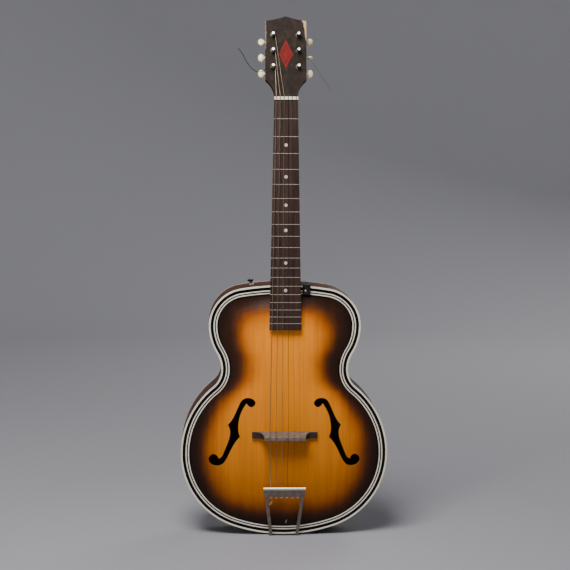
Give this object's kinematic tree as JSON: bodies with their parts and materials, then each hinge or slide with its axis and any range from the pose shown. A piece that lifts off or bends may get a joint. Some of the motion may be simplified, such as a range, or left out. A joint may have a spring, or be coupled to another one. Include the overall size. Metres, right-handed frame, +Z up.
{
  "type": "archtop_guitar",
  "caption": "Worn acoustic archtop guitar with a sunburst arched top, f-holes, cream binding, floating bridge, trapeze tailpiece and open-geared tuners",
  "frame": {"origin": "Centre line of the guitar on the flat underside of the tailpiece bracket, at mid-depth of the rim", "axes": "+Z up from the tail to the headstock, -Y out of the front (strings), +X the treble side (high E string)"},
  "size_m": [0.402, 0.1427, 1.0062],
  "materials": {
    "sunburst_top": "amber spruce-like top, dark brown burst at the edge, worn gloss lacquer",
    "brown_body": "reddish brown stained hardwood, worn gloss lacquer",
    "inner_wood": "bare pale wood inside the box",
    "cream_binding": "aged cream celluloid",
    "white_line": "thin pale inlay lines",
    "dark_neck": "dark brown stained neck, worn dark paint on the headstock face",
    "steel": "plain steel",
    "dark_board": "dark brown rosewood-like board, worn between the frets",
    "fret_metal": "worn nickel-silver wire",
    "pearl_dot": "pale pearl-like dots",
    "bone_nut": "aged bone-like nut",
    "bridge_wood": "dark brown wood, rubbed pale along the crown",
    "nickel": "dulled nickel plate",
    "tuner_brass": "dull brass",
    "ivory_button": "ivory-coloured plastic",
    "bronze_string": "bronze-wound string",
    "plain_string": "plain steel string",
    "black_bracket": "black"
  },
  "bodies": {
    "guitar": {"top_plate": "sunburst_top", "back_plate": "brown_body", "bass_side": "brown_body", "treble_side": "brown_body", "neck_block": "inner_wood", "tail_block": "inner_wood", "linings": "inner_wood", "tone_bars": "inner_wood", "top_binding": "cream_binding", "back_binding": "cream_binding", "top_purfling": "white_line", "neck": "dark_neck", "neck_steel_bar": "steel", "fingerboard": "dark_board", "frets": "fret_metal", "position_dots": "pearl_dot", "nut": "bone_nut", "tailpiece_hinge_pins": "steel", "tailpiece_bracket": "nickel", "tuner_plate_bass": "nickel", "tuner_plate_treble": "nickel", "tuner_bushings": "nickel", "wood_screws": "steel", "finger_rest_bracket": "black_bracket", "strap_button": "cream_binding", "loose_string_end_bass": "bronze_string", "loose_string_end_treble": "plain_string", "string_1": "plain_string", "string_2": "plain_string", "string_3": "plain_string", "string_4": "bronze_string", "string_5": "bronze_string", "string_6": "bronze_string"},
    "tuner_key_1": {"tuner_button_1": "ivory_button", "tuner_worm_1": "steel"},
    "tuner_roller_1": {"tuner_post_1": "nickel", "tuner_gear_1": "tuner_brass"},
    "tuner_key_2": {"tuner_button_2": "ivory_button", "tuner_worm_2": "steel"},
    "tuner_roller_2": {"tuner_post_2": "nickel", "tuner_gear_2": "tuner_brass"},
    "tuner_key_3": {"tuner_button_3": "ivory_button", "tuner_worm_3": "steel"},
    "tuner_roller_3": {"tuner_post_3": "nickel", "tuner_gear_3": "tuner_brass"},
    "tuner_key_4": {"tuner_button_4": "ivory_button", "tuner_worm_4": "steel"},
    "tuner_roller_4": {"tuner_post_4": "nickel", "tuner_gear_4": "tuner_brass"},
    "tuner_key_5": {"tuner_button_5": "ivory_button", "tuner_worm_5": "steel"},
    "tuner_roller_5": {"tuner_post_5": "nickel", "tuner_gear_5": "tuner_brass"},
    "tuner_key_6": {"tuner_button_6": "ivory_button", "tuner_worm_6": "steel"},
    "tuner_roller_6": {"tuner_post_6": "nickel", "tuner_gear_6": "tuner_brass"},
    "tailpiece": {"tailpiece_string_bar": "nickel", "tailpiece_legs": "nickel"},
    "bridge": {"bridge": "bridge_wood"}
  },
  "joints": [
    {"name": "tuner_key_1_turn", "type": "hinge", "parent": "guitar", "child": "tuner_key_1", "pos_m": [0.0245, -0.00104, 0.89583], "axis": [1, 0, 0], "continuous": true},
    {"name": "tuner_post_1_turn", "type": "hinge", "parent": "guitar", "child": "tuner_roller_1", "pos_m": [0.0245, -0.01818, 0.90888], "axis": [0, -0.9636, 0.2672], "continuous": true},
    {"name": "tuner_key_2_turn", "type": "hinge", "parent": "guitar", "child": "tuner_key_2", "pos_m": [0.0245, 0.0074, 0.92628], "axis": [1, 0, 0], "continuous": true},
    {"name": "tuner_post_2_turn", "type": "hinge", "parent": "guitar", "child": "tuner_roller_2", "pos_m": [0.0245, -0.00973, 0.93933], "axis": [0, -0.9636, 0.2672], "continuous": true},
    {"name": "tuner_key_3_turn", "type": "hinge", "parent": "guitar", "child": "tuner_key_3", "pos_m": [0.0245, 0.01585, 0.95673], "axis": [1, 0, 0], "continuous": true},
    {"name": "tuner_post_3_turn", "type": "hinge", "parent": "guitar", "child": "tuner_roller_3", "pos_m": [0.0245, -0.00129, 0.96978], "axis": [0, -0.9636, 0.2672], "continuous": true},
    {"name": "tuner_key_4_turn", "type": "hinge", "parent": "guitar", "child": "tuner_key_4", "pos_m": [-0.0245, 0.01585, 0.95673], "axis": [1, 0, 0], "continuous": true},
    {"name": "tuner_post_4_turn", "type": "hinge", "parent": "guitar", "child": "tuner_roller_4", "pos_m": [-0.0245, -0.00129, 0.96978], "axis": [0, -0.9636, 0.2672], "continuous": true},
    {"name": "tuner_key_5_turn", "type": "hinge", "parent": "guitar", "child": "tuner_key_5", "pos_m": [-0.0245, 0.0074, 0.92628], "axis": [1, 0, 0], "continuous": true},
    {"name": "tuner_post_5_turn", "type": "hinge", "parent": "guitar", "child": "tuner_roller_5", "pos_m": [-0.0245, -0.00973, 0.93933], "axis": [0, -0.9636, 0.2672], "continuous": true},
    {"name": "tuner_key_6_turn", "type": "hinge", "parent": "guitar", "child": "tuner_key_6", "pos_m": [-0.0245, -0.00104, 0.89583], "axis": [1, 0, 0], "continuous": true},
    {"name": "tuner_post_6_turn", "type": "hinge", "parent": "guitar", "child": "tuner_roller_6", "pos_m": [-0.0245, -0.01818, 0.90888], "axis": [0, -0.9636, 0.2672], "continuous": true},
    {"name": "tailpiece_swing", "type": "hinge", "parent": "guitar", "child": "tailpiece", "pos_m": [0, -0.0485, 0.0035], "axis": [1, 0, 0], "range_deg": [-4, 20], "stiffness_Nm_per_rad": 3, "deforming": ["string_1", "string_2", "string_3", "string_4", "string_5", "string_6"]},
    {"name": "bridge_slide", "type": "slide", "parent": "guitar", "child": "bridge", "axis": [0, 0, 1], "range_m": [-0.006, 0.006], "deforming": ["string_1", "string_2", "string_3", "string_4", "string_5", "string_6"]}
  ],
  "couplings": [
    {"joint": "tuner_post_1_turn", "follows": "tuner_key_1_turn", "ratio": -0.083333},
    {"joint": "tuner_post_2_turn", "follows": "tuner_key_2_turn", "ratio": -0.083333},
    {"joint": "tuner_post_3_turn", "follows": "tuner_key_3_turn", "ratio": -0.083333},
    {"joint": "tuner_post_4_turn", "follows": "tuner_key_4_turn", "ratio": -0.083333},
    {"joint": "tuner_post_5_turn", "follows": "tuner_key_5_turn", "ratio": -0.083333},
    {"joint": "tuner_post_6_turn", "follows": "tuner_key_6_turn", "ratio": -0.083333}
  ]
}
